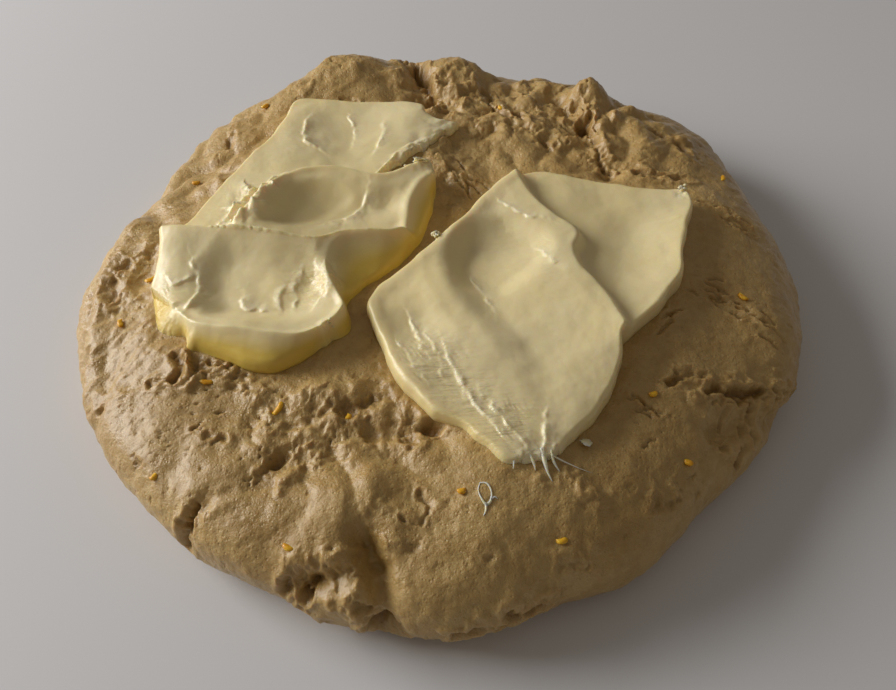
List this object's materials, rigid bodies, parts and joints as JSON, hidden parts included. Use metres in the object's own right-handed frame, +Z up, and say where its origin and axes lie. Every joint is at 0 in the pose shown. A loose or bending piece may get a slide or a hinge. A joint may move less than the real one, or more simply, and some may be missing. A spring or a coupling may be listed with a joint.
{
  "type": "raw stollen dough with butter",
  "caption": "Thick hand-patted round of raw yeast dough with orange zest, topped with smeared slabs of soft butter ready to be folded in",
  "frame": {"origin": "Centre of the bounding box, on the surface the dough lies on", "axes": "+Z up, out of the dough's top; -Y towards the cleft front; +X towards the smooth right side"},
  "size_m": [0.2652, 0.2738, 0.0473],
  "materials": {
    "dough": "satin, moist",
    "butter": "soft gloss"
  },
  "bodies": {
    "root": {"dough": "dough", "butter_left": "butter", "butter_right": "butter"}
  },
  "joints": []
}
